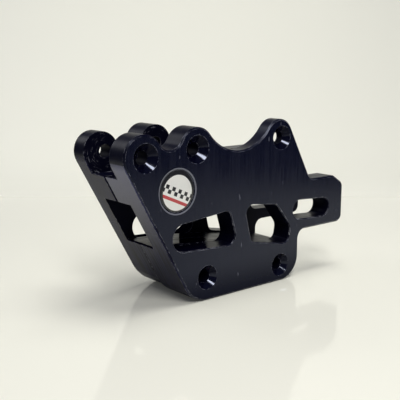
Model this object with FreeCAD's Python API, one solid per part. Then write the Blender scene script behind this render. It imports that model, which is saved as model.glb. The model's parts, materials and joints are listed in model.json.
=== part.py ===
import FreeCAD
import Part

import math
import os

# A motorcycle chain guide in two milled plastic halves, with a round badge let into the outer one.
# Layout, in millimetres: x runs along the chain from the foot of the leaning front edge, y crosses it
# from the seam with the outer half on the negative side, and z rises from the flat bottom.

# Overall
overall_length = 146.7      # from the front ear to the end of the tab
overall_height = 86.0       # from the bottom to the top of the peak

# Chain passage
chain_gap = 22.0            # width of the passage and of the notch between the ears
passage_height = 21.5
mouth_floor = 28.4          # height of the passage floor at the front edge
mouth_pitch = 2.8           # degrees that the floor falls at the mouth
mouth_break = 1.1           # bevel on the front edge of the floor
floor_radius = 600.0        # the floor bends down towards the back on this radius

# Plates
outer_wall = 11.6
inner_wall = 9.6
upper_seam_gap = 1.8        # the halves stay apart by this above the passage
perimeter_break = 0.8
cutout_break = 0.4
seam_break = 0.2            # the halves' meeting edges below the passage

# Body, seen from the side
front_lean = 28.7           # degrees that the front edge leans from upright
body_back = 72.7
land_top = 63.0             # floor of the notch between the ears
outer_foot_round = 15.0     # round between the front edge and the bottom
inner_foot_round = 22.0
heel_round = 12.0           # round between the bottom and the back
inner_top = 68.0            # flat top of the inner half behind its ears
inner_top_round = 3.0
inner_top_blend = 12.0

# Ears, peak and the valleys between them
ear_1_setback = 13.221      # from the front edge back to the hole
ear_1_drop = 12.9           # from the overall top down to the hole
ear_1_round = 10.7
ear_pitch = 29.5            # along x, between the holes
ear_2_drop = 11.2
ear_2_round = 10.4
inner_ear_trim = 1.1        # the inner half's ears are rounded this much smaller
boss_height = 4.0           # the boss round the back ear's hole, on the far side of the inner half
ear_valley_round = 7.0
peak_x = 58.3
peak_round = 9.7
peak_round_shift = 1.3      # the peak's round lies this far ahead of its hole
peak_valley_round = 24.2
peak_thickness = 7.2        # the peak is relieved from behind to this
peak_relief_start = 30.0

# Tab with its slot
tab_bottom = 25.6
tab_top = 52.5
tab_root_round = 5.0
tab_corner_round = 4.0
tab_slope_run = 9.0         # the top corner slopes down this far before the end
tab_slope_drop = 5.2        # and meets the end this far below the top
tab_slope_round = 3.5
slot_end_gap = 16.6         # from the end of the tab to the middle of the slot's back round
slot_run = 18.1             # between the slot's rounds
slot_front_z = 36.9
slot_back_z = 35.8
slot_width = 10.2

# Windows, as the rounds at their corners: x, z, radius
front_window = [
    (-5.3, 33.5, 6.7),
    (21.8, 30.4, 4.9),
    (20.9, 39.6, 3.1),
]
back_window = [
    (41.0, 27.7, 3.6),
    (61.3, 24.2, 4.0),
    (60.8, 27.2, 5.0),
    (54.2, 38.8, 3.0),
    (39.0, 39.3, 4.6),
]

# Screw holes, with cone seats in the outer half for flat heads
screw_clearance = 6.6       # M6
screw_tapping = 5.0         # M6, in the inner half below the passage
seat_angle = 90.0
ear_seat = 13.5             # width of a seat at the face
peak_seat = 12.4
clamp_seat = 12.1
clamp_1_x = 8.8
clamp_1_z = 11.6
clamp_2_x = 58.9
clamp_2_z = 8.8

# Badge
badge_x = -9.1
badge_z = 56.2
badge_diameter = 19.4
badge_edge = 0.7
badge_dome = 0.45
badge_clearance = 0.15
recess_depth = 1.2
recess_flare = 1.1          # width of the bevel round the recess

# Places worked out from the sizes above
lean_cos = math.cos(math.radians(front_lean))
lean_sin = math.sin(math.radians(front_lean))
half_gap = chain_gap / 2
outer_face = -(half_gap + outer_wall)
outer_inside = -half_gap
inner_inside = half_gap
inner_face = half_gap + inner_wall
boss_face = inner_face + boss_height
ear_1_z = overall_height - ear_1_drop
ear_2_z = overall_height - ear_2_drop
ear_1_x = ear_1_setback - ear_1_z * lean_sin / lean_cos
ear_2_x = ear_1_x + ear_pitch
peak_z = overall_height - peak_round
peak_round_x = peak_x - peak_round_shift
back_edge = peak_round_x * lean_cos + peak_z * lean_sin + peak_round
smaller_ear_1 = ear_1_round - max(0.0, inner_ear_trim)
front_end = (smaller_ear_1 * (1 - lean_cos) - ear_1_z * lean_sin) / lean_cos
tab_end = front_end + overall_length
slot_back_x = tab_end - slot_end_gap
slot_front_x = slot_back_x - slot_run
origin = FreeCAD.Vector((front_end + tab_end) / 2, (outer_face + boss_face) / 2, 0)
overrun = 10.0              # how far a cutting shape runs past what it cuts
shortest_line = 0.001       # rounds that come this close touch, with no line between
flatness = 1e-6             # a face that is flat across y to this is a plane

CONVEX = 1
CONCAVE = -1


def touching(first, second, radius):
    """A hollow round that touches two outward rounds from above."""
    ax, az, ar, _ = first
    bx, bz, br, _ = second
    span = math.hypot(bx - ax, bz - az)
    reach_a = ar + radius
    reach_b = br + radius
    along = (span ** 2 + reach_a ** 2 - reach_b ** 2) / (2 * span)
    rise = math.sqrt(reach_a ** 2 - along ** 2)
    ux = (bx - ax) / span
    uz = (bz - az) / span
    sign = 1 if ux > 0 else -1
    return (ax + ux * along - sign * uz * rise, az + uz * along + sign * ux * rise, radius, CONCAVE)


def outline_wire(rounds, y):
    """A closed outline that runs anticlockwise round a list of rounds, with straight tangents between."""
    count = len(rounds)
    leaving = []
    arriving = []
    for i in range(count):
        ax, az, ar, a_turn = rounds[i]
        bx, bz, br, b_turn = rounds[(i + 1) % count]
        span = math.hypot(bx - ax, bz - az)
        bend = (b_turn * br - a_turn * ar) / span
        heading = math.atan2(bz - az, bx - ax) - math.asin(max(-1.0, min(1.0, bend)))
        nx = -math.sin(heading)
        nz = math.cos(heading)
        end = (ax - a_turn * ar * nx, az - a_turn * ar * nz)
        after = (bx - b_turn * br * nx, bz - b_turn * br * nz)
        leaving.append(end)
        arriving.append(after if math.dist(end, after) > shortest_line else end)
    edges = []
    for i in range(count):
        x, z, r, turn = rounds[i]
        start = arriving[i - 1]
        end = leaving[i]
        first = math.atan2(start[1] - z, start[0] - x)
        last = math.atan2(end[1] - z, end[0] - x)
        sweep = turn * ((turn * (last - first)) % (2 * math.pi))
        middle = first + sweep / 2
        edges.append(Part.Arc(
            FreeCAD.Vector(start[0], y, start[1]),
            FreeCAD.Vector(x + r * math.cos(middle), y, z + r * math.sin(middle)),
            FreeCAD.Vector(end[0], y, end[1]),
        ).toShape())
        after = arriving[i]
        if after != end:
            edges.append(Part.LineSegment(
                FreeCAD.Vector(end[0], y, end[1]),
                FreeCAD.Vector(after[0], y, after[1]),
            ).toShape())
    return Part.Wire(Part.__sortEdges__(edges))


def prism(rounds, y_from, y_to):
    """The outline of a list of rounds, as a plate between two planes across y."""
    face = Part.Face(outline_wire(rounds, y_from))
    return face.extrude(FreeCAD.Vector(0, y_to - y_from, 0))


def block(x_from, x_to, y_from, y_to, z_from, z_to):
    """A plain box between two corners."""
    size = (x_to - x_from, y_to - y_from, z_to - z_from)
    return Part.makeBox(*size, FreeCAD.Vector(x_from, y_from, z_from))


def cylinder(x, z, diameter, y_from, y_to):
    """A cylinder along y, to add or to drill with."""
    start = FreeCAD.Vector(x, y_from, z)
    return Part.makeCylinder(diameter / 2, y_to - y_from, start, FreeCAD.Vector(0, 1, 0))


def screw_hole(x, z, seat):
    """A through hole from the outer face, with a cone seat for a flat head."""
    slope = math.tan(math.radians(seat_angle / 2))
    depth = (seat - screw_clearance) / 2 / slope
    start = FreeCAD.Vector(x, outer_face, z)
    cone = Part.makeCone(seat / 2, screw_clearance / 2, depth, start, FreeCAD.Vector(0, 1, 0))
    return cone.fuse(cylinder(x, z, screw_clearance, outer_face, overrun))


def front_x(z):
    """Where the leaning front edge is at a height."""
    return -z * lean_sin / lean_cos


def lower_rounds(foot_round):
    """The rounds from the foot of the front edge, under the body and round the tab."""
    foot = (foot_round * (1 - lean_sin) / lean_cos, foot_round, foot_round, CONVEX)
    heel = (body_back - heel_round, heel_round, heel_round, CONVEX)
    root = (body_back + tab_root_round, tab_bottom - tab_root_round, tab_root_round, CONCAVE)
    low = (tab_end - tab_corner_round, tab_bottom + tab_corner_round, tab_corner_round, CONVEX)
    high_z = tab_top - tab_slope_drop - tab_slope_round / 2
    high = (tab_end - tab_slope_round, high_z, tab_slope_round, CONVEX)
    crest = (tab_end - tab_slope_run, tab_top - tab_slope_round, tab_slope_round, CONVEX)
    top_z = tab_top + tab_root_round
    top_x = (back_edge + tab_root_round - top_z * lean_sin) / lean_cos
    shoulder = (top_x, top_z, tab_root_round, CONCAVE)
    return [foot, heel, root, low, high, crest, shoulder]


def ear_rounds(trim):
    """The two ears and the valley between them, from the back forwards."""
    radius = ear_1_round - trim
    ear_1 = ((radius - ear_1_z * lean_sin) / lean_cos, ear_1_z, radius, CONVEX)
    ear_2 = (ear_2_x, ear_2_z, ear_2_round - trim, CONVEX)
    return [ear_2, touching(ear_2, ear_1, ear_valley_round), ear_1]


def outer_rounds():
    """The outer half from the side: a valley and a third lug follow the ears."""
    ears = ear_rounds(0)
    peak = (peak_round_x, peak_z, peak_round, CONVEX)
    return lower_rounds(outer_foot_round) + [peak, touching(peak, ears[0], peak_valley_round)] + ears


def inner_rounds():
    """The inner half from the side: a flat top follows the ears."""
    ears = ear_rounds(inner_ear_trim)
    corner_z = inner_top - inner_top_round
    corner_x = (back_edge - inner_top_round - corner_z * lean_sin) / lean_cos
    corner = (corner_x, corner_z, inner_top_round, CONVEX)
    blend_z = inner_top + inner_top_blend
    reach = ears[0][2] + inner_top_blend
    blend_x = ear_2_x + math.sqrt(reach ** 2 - (blend_z - ear_2_z) ** 2)
    return lower_rounds(inner_foot_round) + [corner, (blend_x, blend_z, inner_top_blend, CONCAVE)] + ears


def window_rounds(corners):
    """A window's corners as outward rounds."""
    return [(x, z, r, CONVEX) for x, z, r in corners]


def slot_rounds():
    """The long slot of the tab."""
    radius = slot_width / 2
    return [(slot_front_x, slot_front_z, radius, CONVEX), (slot_back_x, slot_back_z, radius, CONVEX)]


def passage(y_from, y_to):
    """The chain's way through, between a floor and a ceiling bent round one centre."""
    pitch = math.radians(mouth_pitch)
    centre_x = front_x(mouth_floor) - floor_radius * math.sin(pitch)
    centre_z = mouth_floor - floor_radius * math.cos(pitch)
    ceiling_radius = floor_radius + passage_height
    start = front_x(mouth_floor + passage_height) - overrun
    end = body_back + overrun
    middle = (start + end) / 2

    def on_arc(radius, x):
        return FreeCAD.Vector(x, y_from, centre_z + math.sqrt(radius ** 2 - (x - centre_x) ** 2))

    floor = Part.Arc(*[on_arc(floor_radius, x) for x in (start, middle, end)]).toShape()
    ceiling = Part.Arc(*[on_arc(ceiling_radius, x) for x in (start, middle, end)]).toShape()
    sides = [
        Part.LineSegment(on_arc(floor_radius, x), on_arc(ceiling_radius, x)).toShape()
        for x in (start, end)
    ]
    face = Part.Face(Part.Wire(Part.__sortEdges__([floor, ceiling] + sides)))
    return face.extrude(FreeCAD.Vector(0, y_to - y_from, 0))


def mouth_bevel(y_from, y_to):
    """What the bevel on the front edge of the passage floor takes away."""
    pitch = math.radians(mouth_pitch)
    corner = FreeCAD.Vector(front_x(mouth_floor), y_from, mouth_floor)
    on_floor = corner + FreeCAD.Vector(math.cos(pitch), 0, -math.sin(pitch)) * mouth_break
    on_front = corner + FreeCAD.Vector(lean_sin, 0, -lean_cos) * mouth_break
    along = (on_floor - on_front).normalize() * mouth_break
    outwards = FreeCAD.Vector(-along.z, 0, along.x)
    points = [on_floor + along, on_front - along, on_front - along + outwards, on_floor + along + outwards]
    face = Part.Face(Part.makePolygon(points + points[:1]))
    return face.extrude(FreeCAD.Vector(0, y_to - y_from, 0))


def upper_gap(y_from, y_to):
    """A block that keeps the halves apart above the passage."""
    middle = mouth_floor + passage_height / 2
    return block(front_end - overrun, tab_end, y_from, y_to, middle, land_top + overrun)


def below_land(y_from, y_to):
    """A block that takes in the body up to the notch floor, and leaves out the tab."""
    return block(front_end - overrun, body_back, y_from, y_to, -overrun, land_top)


def flat_faces(half, y):
    """The flat faces of a half at y, the largest first."""
    flat = [f for f in half.Faces if f.BoundBox.YLength < flatness]
    return sorted((f for f in flat if abs(f.CenterOfMass.y - y) < flatness), key=lambda f: -f.Area)


def break_edges(half, y):
    """Bevel the outer rim and the cut-outs of the flat face at y, and the rim of the lower seam face."""
    half = half.makeChamfer(perimeter_break, flat_faces(half, y)[0].OuterWire.Edges)
    face = flat_faces(half, y)[0]
    cutouts = [e for w in face.Wires if not w.isSame(face.OuterWire) for e in w.Edges]
    half = half.makeChamfer(cutout_break, cutouts)
    seam = min(flat_faces(half, 0), key=lambda f: f.CenterOfMass.z)
    return half.makeChamfer(seam_break, seam.OuterWire.Edges)


def cut_openings(half, y_outside, y_inside):
    """Cut the windows through a wall, and the slot through the wall and what stands behind it."""
    for corners in (front_window, back_window):
        half = half.cut(prism(window_rounds(corners), y_outside, y_inside))
    return half.cut(prism(slot_rounds(), y_outside, 0))


def ear_boss():
    """The boss that makes the inner half's back ear longer."""
    start = inner_face - perimeter_break
    boss = cylinder(ear_2_x, ear_2_z, 2 * (ear_2_round - inner_ear_trim), start, boss_face)
    rim = [e for e in boss.Edges if e.BoundBox.YMin > boss_face - flatness]
    boss = boss.makeChamfer(perimeter_break, rim)
    return boss.cut(cylinder(ear_2_x, ear_2_z, screw_clearance, start, boss_face))


def outer_half():
    rounds = outer_rounds()
    plate = prism(rounds, outer_face, outer_inside)
    land = prism(rounds, outer_inside, 0).common(below_land(outer_inside, 0))
    half = plate.fuse(land)
    half = half.cut(passage(outer_inside, overrun))
    half = half.cut(mouth_bevel(outer_inside, overrun))
    half = half.cut(upper_gap(-upper_seam_gap / 2, overrun))
    relief = block(
        peak_relief_start, tab_end, outer_face + peak_thickness, outer_inside + overrun,
        land_top, peak_z + peak_round + overrun,
    )
    half = half.cut(relief)
    half = cut_openings(half, outer_face - overrun, outer_inside)
    half = break_edges(half.removeSplitter(), outer_face)
    holes = [
        (ear_1_x, ear_1_z, ear_seat),
        (ear_2_x, ear_2_z, ear_seat),
        (peak_x, peak_z, peak_seat),
        (clamp_1_x, clamp_1_z, clamp_seat),
        (clamp_2_x, clamp_2_z, clamp_seat),
    ]
    for hole in holes:
        half = half.cut(screw_hole(*hole))
    recess_radius = badge_diameter / 2 + badge_clearance
    recess = cylinder(badge_x, badge_z, 2 * recess_radius, outer_face, outer_face + recess_depth)
    flare = Part.makeCone(
        recess_radius + recess_flare, recess_radius, recess_depth - badge_edge,
        FreeCAD.Vector(badge_x, outer_face, badge_z), FreeCAD.Vector(0, 1, 0),
    )
    return half.cut(recess.fuse(flare))


def inner_half():
    rounds = inner_rounds()
    plate = prism(rounds, inner_inside, inner_face)
    land = prism(rounds, 0, inner_inside).common(below_land(0, inner_inside))
    half = plate.fuse(land)
    half = half.cut(passage(-overrun, inner_inside))
    half = half.cut(mouth_bevel(-overrun, inner_inside))
    half = half.cut(upper_gap(-overrun, upper_seam_gap / 2))
    half = cut_openings(half, inner_face + overrun, inner_inside)
    holes = [
        (ear_1_x, ear_1_z, screw_clearance),
        (ear_2_x, ear_2_z, screw_clearance),
        (clamp_1_x, clamp_1_z, screw_tapping),
        (clamp_2_x, clamp_2_z, screw_tapping),
    ]
    for x, z, bore in holes:
        half = half.cut(cylinder(x, z, bore, -overrun, inner_face + overrun))
    half = break_edges(half.removeSplitter(), inner_face)
    return half.fuse(ear_boss()).removeSplitter()


def badge():
    """A thin disc with a domed front, lying on the floor of the recess."""
    radius = badge_diameter / 2
    floor = outer_face + recess_depth
    rim = floor - badge_edge
    crown = rim - badge_dome
    middle = radius / 2
    dome_radius = (radius ** 2 + badge_dome ** 2) / (2 * badge_dome)
    sag = dome_radius - math.sqrt(dome_radius ** 2 - middle ** 2)
    points = [
        FreeCAD.Vector(badge_x, floor, badge_z),
        FreeCAD.Vector(badge_x + radius, floor, badge_z),
        FreeCAD.Vector(badge_x + radius, rim, badge_z),
        FreeCAD.Vector(badge_x, crown, badge_z),
    ]
    dome = Part.Arc(points[2], FreeCAD.Vector(badge_x + middle, crown + sag, badge_z), points[3])
    section = Part.Wire([
        Part.LineSegment(points[0], points[1]).toShape(),
        Part.LineSegment(points[1], points[2]).toShape(),
        dome.toShape(),
        Part.LineSegment(points[3], points[0]).toShape(),
    ])
    return Part.Face(section).revolve(points[0], FreeCAD.Vector(0, 1, 0), 360)


def main():
    os.makedirs("parts", exist_ok=True)
    nodes = {"outer_half": outer_half(), "inner_half": inner_half(), "badge": badge()}
    for name, shape in nodes.items():
        shape.translate(-origin)
        solid = shape.Solids[0]
        print(name, len(shape.Solids), solid.isValid(), round(solid.Volume), solid.BoundBox)
        solid.exportStep("parts/" + name + ".step")


main()
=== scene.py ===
# %% [markdown]
# # A milled motorcycle chain guide
# The guide is two plates of black polyethylene, milled to shape and bolted face to face round the chain.
# The solids come ready from the CAD model, so this lesson dresses them: a stage, light, a camera and
# finishes that follow how each surface was cut. Sizes on the guide are written in millimetres, as on a
# drawing. Blender takes metres, and the stage and the lamps are written in those.

import json
import math

import bpy
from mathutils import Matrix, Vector


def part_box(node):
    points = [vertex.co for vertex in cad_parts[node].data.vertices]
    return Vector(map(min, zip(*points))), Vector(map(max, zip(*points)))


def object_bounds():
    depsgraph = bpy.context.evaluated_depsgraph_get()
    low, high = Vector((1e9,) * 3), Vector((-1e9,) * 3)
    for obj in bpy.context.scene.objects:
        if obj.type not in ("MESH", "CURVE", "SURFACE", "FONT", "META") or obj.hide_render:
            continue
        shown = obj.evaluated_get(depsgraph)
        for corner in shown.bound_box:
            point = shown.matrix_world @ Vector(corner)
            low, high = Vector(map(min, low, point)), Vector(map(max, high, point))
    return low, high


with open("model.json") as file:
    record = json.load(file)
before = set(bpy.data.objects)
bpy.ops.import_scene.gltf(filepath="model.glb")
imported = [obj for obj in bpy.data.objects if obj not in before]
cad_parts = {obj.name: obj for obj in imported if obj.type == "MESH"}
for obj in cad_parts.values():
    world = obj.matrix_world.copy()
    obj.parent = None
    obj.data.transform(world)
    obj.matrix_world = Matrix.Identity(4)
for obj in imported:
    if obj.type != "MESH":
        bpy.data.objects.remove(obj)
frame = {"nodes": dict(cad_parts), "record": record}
cad_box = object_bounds()
MM = 0.001


def in_mm(lengths):
    return [round(length / MM, 1) for length in lengths]


print("nodes:", sorted(frame["nodes"]))
print("CAD box in mm:", [in_mm(corner) for corner in cad_box])

# %% [markdown]
# ## The camera
# The photograph was taken with a fairly long lens from the front left, a little above the guide. The place
# and the angles below were worked out from the guide's parallel edges and round seats, so the render frames
# the guide as the photograph does. A square picture of 400 pixels fills the sensor's width.

# %% Camera
camera_place = Vector((-244.95, -283.98, 117.58)) * MM
camera_heading = math.radians(39.449)
camera_dip = math.radians(11.227)
picture_width = 400
focal_pixels = 727.27
sensor_width = 36.0

camera_data = bpy.data.cameras.new("camera")
camera_data.sensor_width = sensor_width
camera_data.lens = focal_pixels / picture_width * sensor_width
camera = bpy.data.objects.new("camera", camera_data)
bpy.context.scene.collection.objects.link(camera)
look = Vector((
    math.sin(camera_heading) * math.cos(camera_dip),
    math.cos(camera_heading) * math.cos(camera_dip),
    -math.sin(camera_dip),
))
camera.location = camera_place
camera.rotation_euler = look.to_track_quat("-Z", "Y").to_euler()
bpy.context.scene.camera = camera
print("lens in mm:", round(camera_data.lens, 2))

# %% [markdown]
# ## The stage
# A pale sheet lies under the guide and bends up behind it, as in a small photo studio, so no horizon
# shows. A profile of points is swept sideways to make it. The sheet is only as wide as the picture needs:
# past its sides the room is dark, and the black plastic mirrors that darkness in its upper half.

# %% Floor and backdrop
sheet_half_width = 0.32
sheet_front = -0.32
bend_start = 0.35
bend_radius = 0.25
sheet_top = 0.45
bend_steps = 16
quarter_turn = 0.5 * math.pi

profile = [(sheet_front, 0.0)]
for step in range(bend_steps + 1):
    angle = quarter_turn * step / bend_steps
    profile.append((bend_start + bend_radius * math.sin(angle), bend_radius * (1 - math.cos(angle))))
profile.append((bend_start + bend_radius, sheet_top))

points = [(x, y, z) for y, z in profile for x in (-sheet_half_width, sheet_half_width)]
faces = [(2 * i, 2 * i + 1, 2 * i + 3, 2 * i + 2) for i in range(len(profile) - 1)]
sheet_mesh = bpy.data.meshes.new("studio_sheet")
sheet_mesh.from_pydata(points, [], faces)
sheet_mesh.polygons.foreach_set("use_smooth", [True] * len(faces))
sheet = bpy.data.objects.new("studio_sheet", sheet_mesh)
bpy.context.scene.collection.objects.link(sheet)
sheet.rotation_euler.z = -camera_heading
print("stage faces:", len(faces))

# %% [markdown]
# Colours are written as the hex values that a colour picker shows. Blender mixes light in linear values,
# so one function turns hex to linear. Another adds a node with its settings and links: an input takes a
# plain value, a socket, or a node, whose first output in use is then linked.

# %% Helpers for colours and nodes
def linear(hex_colour):
    channels = [int(hex_colour[i:i + 2], 16) / 255 for i in (1, 3, 5)]
    return [c / 12.92 if c <= 0.04045 else ((c + 0.055) / 1.055) ** 2.4 for c in channels] + [1.0]


def add(tree, kind, inputs=(), **settings):
    node = tree.nodes.new(kind)
    for name, value in settings.items():
        setattr(node, name, value)
    for socket, value in dict(inputs).items():
        if isinstance(value, bpy.types.Node):
            value = next(output for output in value.outputs if output.enabled)
        if isinstance(value, bpy.types.NodeSocket):
            tree.links.new(value, node.inputs[socket])
        else:
            node.inputs[socket].default_value = value
    return node


print("mid grey in linear:", round(linear("#808080")[0], 3))

# %% [markdown]
# The sheet is coated card with a light sheen, so a faint mirror image shows under the guide. It is rough
# where it bends up, so no lamp shows there. Its colour is the warm white of the photograph. The camera
# alone sees it a little brighter than its light makes it, most on the left of the backdrop: the glow is
# switched by the Light Path node, so it puts no light on the guide.

# %% Glow of the sheet
glow_start = 0.05
glow_end = bend_start + 0.1
floor_glow = 0.035
backdrop_glow = 0.15
left_share = 1.4
right_share = 0.75

card_finish = bpy.data.materials.new("coated_card_warm_white")
card_finish.use_nodes = True
card = card_finish.node_tree
card.nodes.clear()
sheet_place = add(card, "ShaderNodeTexCoord").outputs["Object"]
sheet_spot = add(card, "ShaderNodeSeparateXYZ", {"Vector": sheet_place}).outputs
rise = add(card, "ShaderNodeMapRange", {
    "Value": sheet_spot["Y"], "From Min": glow_start, "From Max": glow_end,
    "To Min": floor_glow, "To Max": backdrop_glow,
}, interpolation_type="SMOOTHSTEP")
sideways = add(card, "ShaderNodeMapRange", {
    "Value": sheet_spot["X"], "From Min": -sheet_half_width, "From Max": sheet_half_width,
    "To Min": left_share, "To Max": right_share,
}, interpolation_type="SMOOTHSTEP")
glow = add(card, "ShaderNodeMath", {0: rise, 1: sideways}, operation="MULTIPLY")
seen = add(card, "ShaderNodeLightPath").outputs["Is Camera Ray"]
seen_glow = add(card, "ShaderNodeMath", {0: glow, 1: seen}, operation="MULTIPLY")
print("glow of floor and backdrop:", floor_glow, backdrop_glow)

# %% Finish of the sheet: coated card
rough_start = 0.15
floor_roughness = 0.08
bend_roughness = 0.6

card_gloss = add(card, "ShaderNodeMapRange", {
    "Value": sheet_spot["Y"], "From Min": rough_start, "From Max": bend_start,
    "To Min": floor_roughness, "To Max": bend_roughness,
}, interpolation_type="SMOOTHSTEP")
card_shader = add(card, "ShaderNodeBsdfPrincipled", {
    "Base Color": linear("#EEEEE4"), "Roughness": card_gloss,
    "Emission Color": linear("#F8F8EC"), "Emission Strength": seen_glow,
})
add(card, "ShaderNodeOutputMaterial", {"Surface": card_shader})
sheet_mesh.materials.append(card_finish)
print("sheet finish:", card_finish.name)

# %% [markdown]
# ## Light
# The streaks in the cone seats of the photograph all point the same way. Mirrored in the cones, they give
# the place of a narrow, tall lamp: above the camera and to its left. A soft panel overhead, a little to the
# right, lights the pale sheet and leaves a soft shadow under the leaning front. It is kept out of mirrors,
# so that it leaves no white patch on the sheet. A third, weak lamp stands behind on the left and shows in
# the rims that face it. The rest of the room is dim and a little blue, as the plastic mirrors it. Only the
# camera sees it pale, where it looks past the sheet.
#
# A helper lays values over one another, each where its mask is 1. Here the mask is the camera's own ray.

# %% World
MIX_INPUTS = {"FLOAT": (2, 3), "RGBA": (6, 7)}  # a Mix node has a pair of inputs for each kind of value
room_light = 0.12
room_seen = 0.95


def layered(tree, data_type, base, layers):
    first, second = MIX_INPUTS[data_type]
    for mask, value in layers:
        base = add(tree, "ShaderNodeMix", {"Factor": mask, first: base, second: value}, data_type=data_type)
    return base


world = bpy.data.worlds.new("room")
bpy.context.scene.world = world
world.use_nodes = True
room = world.node_tree
room.nodes.clear()
looked_at = add(room, "ShaderNodeLightPath").outputs["Is Camera Ray"]
room_colour = layered(room, "RGBA", linear("#A0AADC"), [(looked_at, linear("#F2F2E8"))])
room_strength = layered(room, "FLOAT", room_light, [(looked_at, room_seen)])
background = add(room, "ShaderNodeBackground", {"Color": room_colour, "Strength": room_strength})
add(room, "ShaderNodeOutputWorld", {"Surface": background})
print("room light:", room_light)


# %% Lamps
def softbox(name, place, target, width, height, watts, colour):
    data = bpy.data.lights.new(name, "AREA")
    data.shape = "RECTANGLE"
    data.size = width
    data.size_y = height
    data.energy = watts
    data.color = linear(colour)[:3]
    lamp = bpy.data.objects.new(name, data)
    bpy.context.scene.collection.objects.link(lamp)
    lamp.location = place
    lamp.rotation_euler = (Vector(target) - Vector(place)).to_track_quat("-Z", "Y").to_euler()
    return lamp


overhead = softbox(
    "overhead_panel", place=(0.12, -0.08, 0.78), target=(0.03, 0.01, 0.0),
    width=0.45, height=0.45, watts=4.3, colour="#FFFDF6",
)
overhead.visible_glossy = False
softbox(
    "left_panel", place=(-0.33, 0.68, 0.55), target=(0.0, 0.0, 0.06),
    width=0.35, height=0.35, watts=0.9, colour="#FFFDF8",
)
softbox(
    "front_lamp", place=(-0.30, -0.55, 0.75), target=(0.0, 0.0, 0.04),
    width=0.20, height=0.42, watts=4.0, colour="#FFFDF8",
)

# %% [markdown]
# ## Milled black polyethylene
# The plates are ultra-high-molecular-weight polyethylene, dyed black. It is waxy, so its look is mostly a
# soft mirror of what stands round it. The cutter leaves marks that differ from face to face: the broad
# sides were brushed up and down, the rims show fine lines along the plate, and the faces between the ears
# show rings from an end mill. So the material first works out which kind of face a point lies on. Each
# answer is a mask, 1 where it holds and 0 elsewhere, and two helpers join masks.

# %% Start of the polyethylene, and how masks join
polyethylene = bpy.data.materials.new("milled_black_polyethylene")
polyethylene.use_nodes = True
poly = polyethylene.node_tree
poly.nodes.clear()
place = add(poly, "ShaderNodeTexCoord").outputs
spot = add(poly, "ShaderNodeSeparateXYZ", {"Vector": place["Object"]}).outputs
facing = add(poly, "ShaderNodeSeparateXYZ", {"Vector": place["Normal"]}).outputs


def all_of(first, *others):
    for mask in others:
        first = add(poly, "ShaderNodeMath", {0: first, 1: mask}, operation="MULTIPLY")
    return first


def any_of(first, *others):
    for mask in others:
        first = add(poly, "ShaderNodeMath", {0: first, 1: mask}, operation="MAXIMUM")
    return first


print("material:", polyethylene.name)

# %% Where the outside and inside faces are
skin_depth = 1.0             # what lies this near to a side's plane belongs to that side
boss_height = 4.0            # the boss on the far back ear stands this far out of the far side
flat_limit = 0.9             # a face lies square to an axis if its normal has this share along it

near_skin = cad_box[0][1] + skin_depth * MM
far_skin = cad_box[1][1] - (boss_height + skin_depth) * MM
sideways_share = add(poly, "ShaderNodeMath", {0: facing["Y"]}, operation="ABSOLUTE")
broad = add(poly, "ShaderNodeMath", {0: sideways_share, 1: flat_limit}, operation="GREATER_THAN")
near_side = add(poly, "ShaderNodeMath", {0: spot["Y"], 1: near_skin}, operation="LESS_THAN")
far_side = add(poly, "ShaderNodeMath", {0: spot["Y"], 1: far_skin}, operation="GREATER_THAN")
outside = all_of(broad, any_of(near_side, far_side))
inside = add(poly, "ShaderNodeMath", {0: broad, 1: outside}, operation="SUBTRACT")
print("outside faces lie past y in mm:", in_mm((near_skin, far_skin)))

# %% Where the slanted front is
front_lean = math.radians(28.7)
front_foot = -34.674         # where the front's plane meets the ground
front_depth = 0.4            # what lies this near to the plane belongs to the front
seam = -1.0

front_normal = Vector((math.cos(front_lean), 0.0, math.sin(front_lean)))
front_reach = front_foot * math.cos(front_lean) + front_depth
into_front = add(poly, "ShaderNodeVectorMath", {
    0: place["Object"], 1: front_normal,
}, operation="DOT_PRODUCT")
front = add(poly, "ShaderNodeMath", {0: into_front, 1: front_reach * MM}, operation="LESS_THAN")
far_half = add(poly, "ShaderNodeMath", {0: spot["Y"], 1: seam * MM}, operation="GREATER_THAN")
print("front plane at mm:", round(front_reach, 2))

# %% [markdown]
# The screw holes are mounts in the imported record, so their places are read from there. The distance to the
# nearest one tells a bore from its cone seat, and gives the radius of the rings that an end mill left.

# %% How far the nearest screw hole is
bores = [mount for mount in frame["record"]["mounts"] if mount["kind"] == "bore"]
bore_radius = 3.3
bore_margin = 0.1
without_y = (1.0, 0.0, 1.0)  # the holes run along Y, so the way along them doesn't count

flat_place = add(poly, "ShaderNodeVectorMath", {
    0: place["Object"], 1: without_y,
}, operation="MULTIPLY")
hole_reach = 1.0             # in metres, further than any hole is
for mount in bores:
    x, _, z = mount["pos_m"]
    reach = add(poly, "ShaderNodeVectorMath", {0: flat_place, 1: (x, 0.0, z)}, operation="DISTANCE")
    hole_reach = add(poly, "ShaderNodeMath", {0: reach, 1: hole_reach}, operation="MINIMUM")
bore = add(poly, "ShaderNodeMath", {
    0: hole_reach, 1: (bore_radius + bore_margin) * MM,
}, operation="LESS_THAN")
print("screw holes:", [mount["name"] for mount in bores])

# %% Where the cone seats are
seat_radius = 7.0            # a little more than the widest seat has
cone_share = math.sqrt(0.5)  # a cone of 90 degrees faces halfway to the side
share_margin = 0.05

sloped = add(poly, "ShaderNodeMath", {
    0: sideways_share, 1: cone_share, 2: share_margin,
}, operation="COMPARE")
in_seat = add(poly, "ShaderNodeMath", {0: hole_reach, 1: seat_radius * MM}, operation="LESS_THAN")
cone = all_of(sloped, in_seat)
print("cone seats reach to mm:", seat_radius)

# %% [markdown]
# Each set of marks is a noise stretched along its own direction: upright on the brushed sides, along the
# plate on the rims and round the hole on the faces between the ears. A pattern's scale is how many of its
# marks fit in a metre. Where marks come singly, they begin where the noise passes a start value and are
# there in full at a second one.

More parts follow.
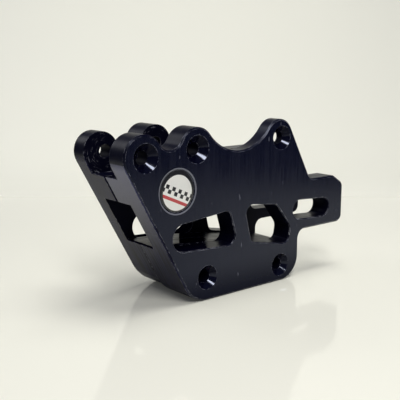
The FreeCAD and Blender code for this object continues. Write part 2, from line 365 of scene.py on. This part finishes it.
# %% Brushed sides and cut rims
def per_metre(mark_mm):
    return 1000.0 / mark_mm


def stretched_noise(x_mm, y_mm, z_mm, detail, roughness):
    stretch = add(poly, "ShaderNodeMapping", {
        "Vector": place["Object"], "Scale": (per_metre(x_mm), per_metre(y_mm), per_metre(z_mm)),
    })
    return add(poly, "ShaderNodeTexNoise", {
        "Vector": stretch, "Scale": 1.0, "Detail": detail, "Roughness": roughness,
    })


brush_width = 1.1            # drawn coarser than the real scratches, which are too fine to show
brush_length = 24.0
cut_spacing = 0.6            # lines that the side of the cutter leaves along a rim
cut_length = 40.0
brush_marks = stretched_noise(brush_width, brush_width, brush_length, detail=3.0, roughness=0.6)
cut_marks = stretched_noise(cut_length, cut_spacing, cut_length, detail=2.0, roughness=0.5)
print("brush marks in mm:", brush_width, brush_length, "cut marks in mm:", cut_spacing, cut_length)

# %% Rings of the end mill
ring_width = 0.7
arc_length = 3.1
ring_start = 0.54
ring_full = 0.66

across_rings = add(poly, "ShaderNodeMath", {0: hole_reach, 1: per_metre(ring_width)}, operation="MULTIPLY")
along_x = add(poly, "ShaderNodeMath", {0: spot["X"], 1: per_metre(arc_length)}, operation="MULTIPLY")
along_z = add(poly, "ShaderNodeMath", {0: spot["Z"], 1: per_metre(arc_length)}, operation="MULTIPLY")
ring_place = add(poly, "ShaderNodeCombineXYZ", {"X": across_rings, "Y": along_x, "Z": along_z})
ring_noise = add(poly, "ShaderNodeTexNoise", {
    "Vector": ring_place, "Scale": 1.0, "Detail": 4.0, "Roughness": 0.7,
})
rings = add(poly, "ShaderNodeMapRange", {
    "Value": ring_noise, "From Min": ring_start, "From Max": ring_full,
}, interpolation_type="SMOOTHSTEP")
print("rings in mm:", ring_width, "with arcs of", arc_length)

# %% Where the rings show: in clusters, and less by the hole
cluster_size = 6.0
cluster_start = 0.42
cluster_full = 0.60
faint_radius = 4.0
clear_radius = 10.0
faint_share = 0.3

clusters = add(poly, "ShaderNodeMapRange", {
    "Value": stretched_noise(cluster_size, cluster_size, cluster_size, detail=2.0, roughness=0.5),
    "From Min": cluster_start, "From Max": cluster_full,
}, interpolation_type="SMOOTHSTEP")
to_rim = add(poly, "ShaderNodeMapRange", {
    "Value": hole_reach, "From Min": faint_radius * MM, "From Max": clear_radius * MM, "To Min": faint_share,
}, interpolation_type="SMOOTHSTEP")
print("rings come in clusters of mm:", cluster_size)

# %% Faces between the ears
notch_floor = 63.0
floor_margin = 0.2
ear_radius = 12.5

raised = add(poly, "ShaderNodeMath", {
    0: spot["Z"], 1: (notch_floor + floor_margin) * MM,
}, operation="GREATER_THAN")
on_ear = add(poly, "ShaderNodeMath", {0: hole_reach, 1: ear_radius * MM}, operation="LESS_THAN")
# painted glints: the end mill's rings between the ears are coloured pale, partly their own marks and partly
# the light they catch
ear_rings_and_glints = all_of(inside, raised, on_ear, rings, clusters, to_rim)
print("ears rise above mm:", notch_floor)

# %% [markdown]
# Edges are where a hand or a tool touches first. The Bevel node gives a normal that bends near an edge:
# where it differs from the face's own normal, a nick can be. A noise then picks a few of those places. Their
# pale colour is partly wear and partly a painted highlight along the edges. Short scuffs on the broad side
# are picked the same way, from a noise stretched upright. On the edges of the windows the cutter tore up
# burrs. They are coloured near white, which is partly the burrs and partly painted glints of light on those
# edges.

# %% Where the edges are
edge_radius = 0.3
edge_start = 0.995           # cosines of the angle between the two normals
edge_full = 0.95

soft_edge = add(poly, "ShaderNodeBevel", {"Radius": edge_radius * MM}, samples=6)
own_normal = add(poly, "ShaderNodeNewGeometry").outputs["Normal"]
edge_turn = add(poly, "ShaderNodeVectorMath", {0: soft_edge, 1: own_normal}, operation="DOT_PRODUCT")
at_edge = add(poly, "ShaderNodeMapRange", {
    "Value": edge_turn, "From Min": edge_start, "From Max": edge_full,
}, interpolation_type="SMOOTHSTEP")
print("edges are softened by mm:", edge_radius)

# %% Nicks and scuffs
nick_size = 2.2
nick_start = 0.46
nick_full = 0.57
scuff_width = 2.2
scuff_length = 7.0
scuff_start = 0.70
scuff_full = 0.78
scuff_strength = 0.35

picked = add(poly, "ShaderNodeMapRange", {
    "Value": stretched_noise(nick_size, nick_size, nick_size, detail=3.0, roughness=0.7),
    "From Min": nick_start, "From Max": nick_full,
}, interpolation_type="SMOOTHSTEP")
scuffs = add(poly, "ShaderNodeMapRange", {
    "Value": stretched_noise(scuff_width, scuff_width, scuff_length, detail=2.0, roughness=0.5),
    "From Min": scuff_start, "From Max": scuff_full, "To Max": scuff_strength,
}, interpolation_type="SMOOTHSTEP")
# pale nicks and scuffs are wear; along the edges the pale nicks also paint highlights
edge_wear_and_glints = any_of(all_of(at_edge, picked), all_of(outside, scuffs))
print("nicks in mm:", nick_size, "scuffs in mm:", scuff_width, scuff_length)

# %% Burrs on the edges of the windows
passage_middle = 32.0
passage_reach = 10.0
window_start = -47.0
burr_size = 1.8
burr_start = 0.52
burr_full = 0.61

in_passage = add(poly, "ShaderNodeMath", {
    0: spot["Z"], 1: passage_middle * MM, 2: passage_reach * MM,
}, operation="COMPARE")
past_front = add(poly, "ShaderNodeMath", {0: spot["X"], 1: window_start * MM}, operation="GREATER_THAN")
torn = add(poly, "ShaderNodeMapRange", {
    "Value": stretched_noise(burr_size, burr_size, burr_size, detail=3.0, roughness=0.7),
    "From Min": burr_start, "From Max": burr_full,
}, interpolation_type="SMOOTHSTEP")
# painted glints: the burrs on the window edges are coloured near white, partly the burrs and partly the
# light they catch
burrs_and_glints = all_of(at_edge, near_side, in_passage, past_front, torn)
print("burrs in mm:", burr_size)

# %% [markdown]
# The dye is even, but light scatters a little more from the brushed side and the sawn front than from the
# walls that a sharp cutter left shiny. The bevel round the badge is coloured pale as a painted highlight for
# the light that its slope catches. Nicks are pale wear, and along the edges their pale colour is also a
# painted highlight. The rings between the ears and the burrs on the windows are coloured pale the same way:
# partly marks and partly painted glints. The colours are laid over one another, each where its mask is 1.

# %% Bevel round the badge
low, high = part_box("badge")
badge_centre = (low + high) / 2
ring_inside = 10.35
ring_outside = 11.05
ring_middle = (ring_inside + ring_outside) / 2

badge_reach = add(poly, "ShaderNodeVectorMath", {
    0: flat_place, 1: (badge_centre.x, 0.0, badge_centre.z),
}, operation="DISTANCE")
on_ring = add(poly, "ShaderNodeMath", {
    0: badge_reach, 1: ring_middle * MM, 2: (ring_outside - ring_middle) * MM,
}, operation="COMPARE")
# painted highlight: the bevel round the badge is coloured pale for the light it catches
painted_ring_highlight = all_of(near_side, on_ring)
print("ring round the badge in mm:", ring_inside, ring_outside)

# %% Colour of the polyethylene
saw_start = 0.40
saw_full = 0.62

brushed_dye = layered(poly, "RGBA", linear("#07091A"), [(brush_marks, linear("#0D1024"))])
saw_lines = add(poly, "ShaderNodeMapRange", {
    "Value": cut_marks, "From Min": saw_start, "From Max": saw_full,
}, interpolation_type="SMOOTHSTEP")
sawn_dye = layered(poly, "RGBA", linear("#06060F"), [(saw_lines, linear("#20203A"))])
dye_layers = [
    (outside, brushed_dye),
    (front, sawn_dye),
    # pale rings between the ears: marks of the end mill and painted glints
    (ear_rings_and_glints, linear("#7C7E8A")),
    # painted highlight on the bevel round the badge
    (painted_ring_highlight, linear("#72747E")),
    # nicks and scuffs: wear, and painted highlights along the edges
    (edge_wear_and_glints, linear("#8A8C98")),
    # burrs on the windows, with painted glints
    (burrs_and_glints, linear("#DCDEE6")),
]
dye = layered(poly, "RGBA", linear("#050516"), dye_layers)
print("layers of colour:", len(dye_layers))

# %% [markdown]
# Gloss goes from the cone seats, which a sharp countersink left smooth, over the front and the walls to the
# faces inside, which were left rough. Several places are also painted dark as painted shade: they mirror
# little or nothing. These are a strip of the passage's floor where the floor would mirror dark walls, the
# far window, the ends of the windows, the front edge of the floor, the edges of the seam, the faces inside
# and the bores. The rest of the floor is scratched.

# %% Where a dark strip is painted on the floor
passage_wall = 10.5
strip_start = -25.1
strip_end = -4.2
strip_slant = -0.77
strip_waves = 8.0

facing_up = add(poly, "ShaderNodeMath", {0: facing["Z"], 1: flat_limit}, operation="GREATER_THAN")
slanted_x = add(poly, "ShaderNodeMath", {
    0: spot["Y"], 1: strip_slant, 2: spot["X"],
}, operation="MULTIPLY_ADD")
wavy_x = add(poly, "ShaderNodeMath", {
    0: cut_marks, 1: strip_waves * MM, 2: slanted_x,
}, operation="MULTIPLY_ADD")
near_window = add(poly, "ShaderNodeMath", {0: spot["Y"], 1: -passage_wall * MM}, operation="LESS_THAN")
past_start = add(poly, "ShaderNodeMath", {0: slanted_x, 1: strip_start * MM}, operation="GREATER_THAN")
before_end = add(poly, "ShaderNodeMath", {0: wavy_x, 1: strip_end * MM}, operation="LESS_THAN")
# painted shade: this strip of floor gets no mirror, so it stays dark where the floor would mirror dark walls
painted_dark_strip = all_of(in_passage, facing_up, any_of(near_window, past_start), before_end)
print("rubbed strip in mm:", strip_start, strip_end)

# %% Scratches along the floor
scratch_width = 1.3
scratch_length = 22.0
scratch_start = 0.50
scratch_full = 0.64

scratched = add(poly, "ShaderNodeMapRange", {
    "Value": stretched_noise(scratch_length, scratch_width, scratch_length, detail=3.0, roughness=0.6),
    "From Min": scratch_start, "From Max": scratch_full,
}, interpolation_type="SMOOTHSTEP")
scratches = all_of(in_passage, facing_up, scratched)
print("scratches in mm:", scratch_width, scratch_length)

# %% Windows of the passage
part_middle = 0.0
front_share = -0.5           # share of a normal along X at which a face looks to the front

past_wall = add(poly, "ShaderNodeMath", {0: spot["Y"], 1: passage_wall * MM}, operation="GREATER_THAN")
in_front = add(poly, "ShaderNodeMath", {0: spot["X"], 1: part_middle}, operation="LESS_THAN")
# painted shade: the far window's floor and walls on the front side get no mirror, so they stay dark
shaded_far_window = all_of(in_passage, past_wall, in_front)
facing_front = add(poly, "ShaderNodeMath", {0: facing["X"], 1: front_share}, operation="LESS_THAN")
# painted shade: the window ends that face the front mirror little, so they stay dark
shaded_window_end = all_of(in_passage, facing_front)
print("windows start past y in mm:", passage_wall)

# %% Edges of the mouth and of the seam
mouth_end = -36.0
mouth_top = 45.0
mouth_tilt = 0.5             # share of a normal along Z on the edge of the mouth
tilt_margin = 0.15
seam_width = 1.1

half_up = add(poly, "ShaderNodeMath", {
    0: facing["Z"], 1: mouth_tilt, 2: tilt_margin,
}, operation="COMPARE")
at_mouth = add(poly, "ShaderNodeMath", {0: spot["X"], 1: mouth_end * MM}, operation="LESS_THAN")
# painted shade: the front edge of the passage's floor gets no mirror, a dark line like a shadowed gap
shaded_mouth_edge = all_of(in_passage, half_up, at_mouth)
above_mouth = add(poly, "ShaderNodeMath", {0: spot["Z"], 1: mouth_top * MM}, operation="GREATER_THAN")
by_seam = add(poly, "ShaderNodeMath", {
    0: spot["Y"], 1: seam * MM, 2: seam_width / 2 * MM,
}, operation="COMPARE")
# painted shade: a dark line without mirror along the seam on the front, above the mouth
shaded_seam_edge = all_of(front, by_seam, above_mouth)
# painted shade: these patches are made rough and without mirror, so they stay dark
dull_painted_shade = any_of(painted_dark_strip, shaded_far_window, shaded_seam_edge)
# painted shade: the faces inside and the bores mirror little, so they stay dark
painted_shade_hollows = any_of(inside, bore)
print("nodes so far:", len(poly.nodes))

# %% [markdown]
# The front is planed smooth above and sawn rough below. On the walls and the sides, the marks of the tool
# make the gloss uneven. Gloss is set as roughness, so a low value is a sharp mirror.

# %% Gloss of the polyethylene
planed_height = 68.0
sawn_gloss = 0.36
planed_gloss = 0.20
wall_smooth = 0.30
wall_rough = 0.46
side_smooth = 0.16
side_rough = 0.27
rough_gloss = 0.55
cone_gloss = 0.12
marks_low = 0.3              # the tool marks' noise lies mostly between these two
marks_high = 0.7

planed = add(poly, "ShaderNodeMapRange", {"Value": spot["Z"], "From Max": planed_height * MM})
front_gloss = add(poly, "ShaderNodeMath", {
    0: planed, 1: planed_gloss - sawn_gloss, 2: sawn_gloss,
}, operation="MULTIPLY_ADD")
wall_gloss = add(poly, "ShaderNodeMapRange", {
    "Value": cut_marks, "From Min": marks_low, "From Max": marks_high,
    "To Min": wall_smooth, "To Max": wall_rough,
}, interpolation_type="SMOOTHSTEP")
side_gloss = add(poly, "ShaderNodeMapRange", {
    "Value": brush_marks, "From Min": marks_low, "From Max": marks_high,
    "To Min": side_smooth, "To Max": side_rough,
}, interpolation_type="SMOOTHSTEP")
gloss_layers = [
    (any_of(dull_painted_shade, painted_shade_hollows), rough_gloss),
    (front, front_gloss),
    (outside, side_gloss),
    (shaded_mouth_edge, rough_gloss),
    (cone, cone_gloss),
]
gloss = layered(poly, "FLOAT", wall_gloss, gloss_layers)
print("layers of gloss:", len(gloss_layers))

# %% [markdown]
# How strongly the plastic mirrors also differs. On the front it follows the planing, and on the far half it
# is weak; its fall towards the foot is partly the sawn finish and partly painted shade under the leaning
# front. The side mirrors less towards its foot and towards its front. The rims shine more towards the peak.
# The cone seats shine where they face up, and their upper halves, which face down, mirror little, as painted
# shade.

# %% Mirror of the front and the sides
planed_power = 2.5
sawn_sheen = 0.08
planed_sheen = 1.0
far_front_sheen = 0.10
foot_height = 20.0
foot_sheen = 0.12
full_side_sheen = 0.57
front_dimming_end = -60.0
front_dimming_share = 0.75

smooth_share = add(poly, "ShaderNodeMath", {0: planed, 1: planed_power}, operation="POWER")
# the front's mirror falls towards its foot: partly the sawn finish, partly painted shade under the leaning
# front
near_sheen = add(poly, "ShaderNodeMath", {
    0: smooth_share, 1: planed_sheen - sawn_sheen, 2: sawn_sheen,
}, operation="MULTIPLY_ADD")
front_sheen = layered(poly, "FLOAT", near_sheen, [(far_half, far_front_sheen)])
sheen_by_height = add(poly, "ShaderNodeMapRange", {
    "Value": spot["Z"], "From Max": foot_height * MM, "To Min": foot_sheen, "To Max": full_side_sheen,
}, interpolation_type="SMOOTHSTEP")
front_dimming = add(poly, "ShaderNodeMapRange", {
    "Value": spot["X"], "From Min": front_dimming_end * MM, "From Max": part_middle, "To Min": front_dimming_share,
}, interpolation_type="SMOOTHSTEP")
side_sheen = add(poly, "ShaderNodeMath", {0: sheen_by_height, 1: front_dimming}, operation="MULTIPLY")
print("side mirrors:", foot_sheen, "at its foot and", full_side_sheen, "above")

# %% Mirror of the rims and the cone seats
ears_end = -25.0
peak_start = 10.0
ear_sheen = 0.24
peak_sheen = 0.76
seat_down = -0.3             # shares of a normal along Z
seat_up = 0.2
down_sheen = 0.08
up_sheen = 0.75

rim_sheen = add(poly, "ShaderNodeMapRange", {
    "Value": spot["X"], "From Min": ears_end * MM, "From Max": peak_start * MM,
    "To Min": ear_sheen, "To Max": peak_sheen,
}, interpolation_type="SMOOTHSTEP")
# painted shade: the upper half of each seat faces down and mirrors little, so it stays dark
cone_sheen = add(poly, "ShaderNodeMapRange", {
    "Value": facing["Z"], "From Min": seat_down, "From Max": seat_up,
    "To Min": down_sheen, "To Max": up_sheen,
}, interpolation_type="SMOOTHSTEP")
print("rims mirror:", ear_sheen, "on the ears and", peak_sheen, "on the peak")

# %% Strength and tint of the mirror
wall_sheen = 0.5
sheltered_sheen = 0.12
window_sheen = 0.06
scratch_sheen = 0.05
no_sheen = 0.0

sheen_layers = [
    (raised, rim_sheen),
    (painted_shade_hollows, sheltered_sheen),
    (shaded_window_end, window_sheen),
    (scratches, scratch_sheen),
    (dull_painted_shade, no_sheen),
    (outside, side_sheen),
    (front, front_sheen),
    (any_of(shaded_mouth_edge, shaded_seam_edge), no_sheen),
    (cone, cone_sheen),
]
sheen = layered(poly, "FLOAT", wall_sheen, sheen_layers)
tint = layered(poly, "RGBA", linear("#D8E0FA"), [(front, linear("#B8BCFA"))])
print("layers of sheen:", len(sheen_layers))

# %% Relief and shader of the polyethylene
mark_depth = 0.03
wall_relief = 0.2
side_relief = 0.3

tool_marks = layered(poly, "FLOAT", cut_marks, [(broad, brush_marks)])
relief_share = layered(poly, "FLOAT", wall_relief, [(outside, side_relief)])
relief = add(poly, "ShaderNodeBump", {
    "Height": tool_marks, "Distance": mark_depth * MM, "Strength": relief_share, "Normal": soft_edge,
})
poly_shader = add(poly, "ShaderNodeBsdfPrincipled", {
    "Base Color": dye, "Roughness": gloss, "IOR": 1.51, "Specular IOR Level": sheen,
    "Specular Tint": tint, "Normal": relief,
})
add(poly, "ShaderNodeOutputMaterial", {"Surface": poly_shader})
halves = ("outer_half", "inner_half")
for name in halves:
    frame["nodes"][name].data.materials.clear()
    frame["nodes"][name].data.materials.append(polyethylene)
print("polyethylene on:", halves)

# %% [markdown]
# ## The badge
# The badge is a printed white disc under a dome of clear resin. Its print is a plain racing pattern: a
# turned band of checks over a stripe, inside a black border. The print is worked out from the distance to
# the disc's middle and from a turned square grid, and the resin is the shader's coat.

# %% Places on the print
border_radius = 8.4
print_drop = 0.6             # the disc is printed this far below the middle
band_turn = math.radians(-24)

badge_print = bpy.data.materials.new("printed_vinyl_under_resin")
badge_print.use_nodes = True
ink = badge_print.node_tree
ink.nodes.clear()
print_place = add(ink, "ShaderNodeTexCoord").outputs["Object"]
print_centre = badge_centre - Vector((0.0, 0.0, print_drop * MM))
centred = add(ink, "ShaderNodeVectorMath", {0: print_place, 1: print_centre}, operation="SUBTRACT")
turned = add(ink, "ShaderNodeVectorRotate", {"Vector": centred, "Angle": band_turn, "Axis": (0, 1, 0)})
print_spot = add(ink, "ShaderNodeSeparateXYZ", {"Vector": turned}).outputs
print_flat = add(ink, "ShaderNodeCombineXYZ", {"X": print_spot["X"], "Z": print_spot["Z"]})
print_reach = add(ink, "ShaderNodeVectorMath", {0: print_flat}, operation="LENGTH")
border = add(ink, "ShaderNodeMath", {0: print_reach, 1: border_radius * MM}, operation="GREATER_THAN")
print("badge centre in mm:", in_mm(badge_centre))

# %% Print of the badge
check_size = 1.9
band_middle = 0.0
stripe_middle = -3.9
stripe_width = 1.5
paper = linear("#FBFBF7")

checks = add(ink, "ShaderNodeTexChecker", {
    "Vector": print_flat, "Color1": paper, "Color2": linear("#15151A"), "Scale": per_metre(check_size),
})
band = add(ink, "ShaderNodeMath", {
    0: print_spot["Z"], 1: band_middle * MM, 2: check_size * MM,
}, operation="COMPARE")
stripe = add(ink, "ShaderNodeMath", {
    0: print_spot["Z"], 1: stripe_middle * MM, 2: stripe_width / 2 * MM,
}, operation="COMPARE")
print_layers = [
    (band, checks),
    (stripe, linear("#C8383C")),
    (border, linear("#0C0C12")),
]
print_colour = layered(ink, "RGBA", paper, print_layers)
print("print layers:", len(print_layers))

# %% Resin over the print
badge_shader = add(ink, "ShaderNodeBsdfPrincipled", {
    "Base Color": print_colour, "Roughness": 0.45,
    "Coat Weight": 1.0, "Coat Roughness": 0.04, "Coat IOR": 1.5,
})
add(ink, "ShaderNodeOutputMaterial", {"Surface": badge_shader})
frame["nodes"]["badge"].data.materials.clear()
frame["nodes"]["badge"].data.materials.append(badge_print)
print("badge finish:", badge_print.name)

# %% [markdown]
# ## Picture settings
# The plain Standard view shows a colour as it was written.

# %% View transform
bpy.context.scene.view_settings.view_transform = "Standard"
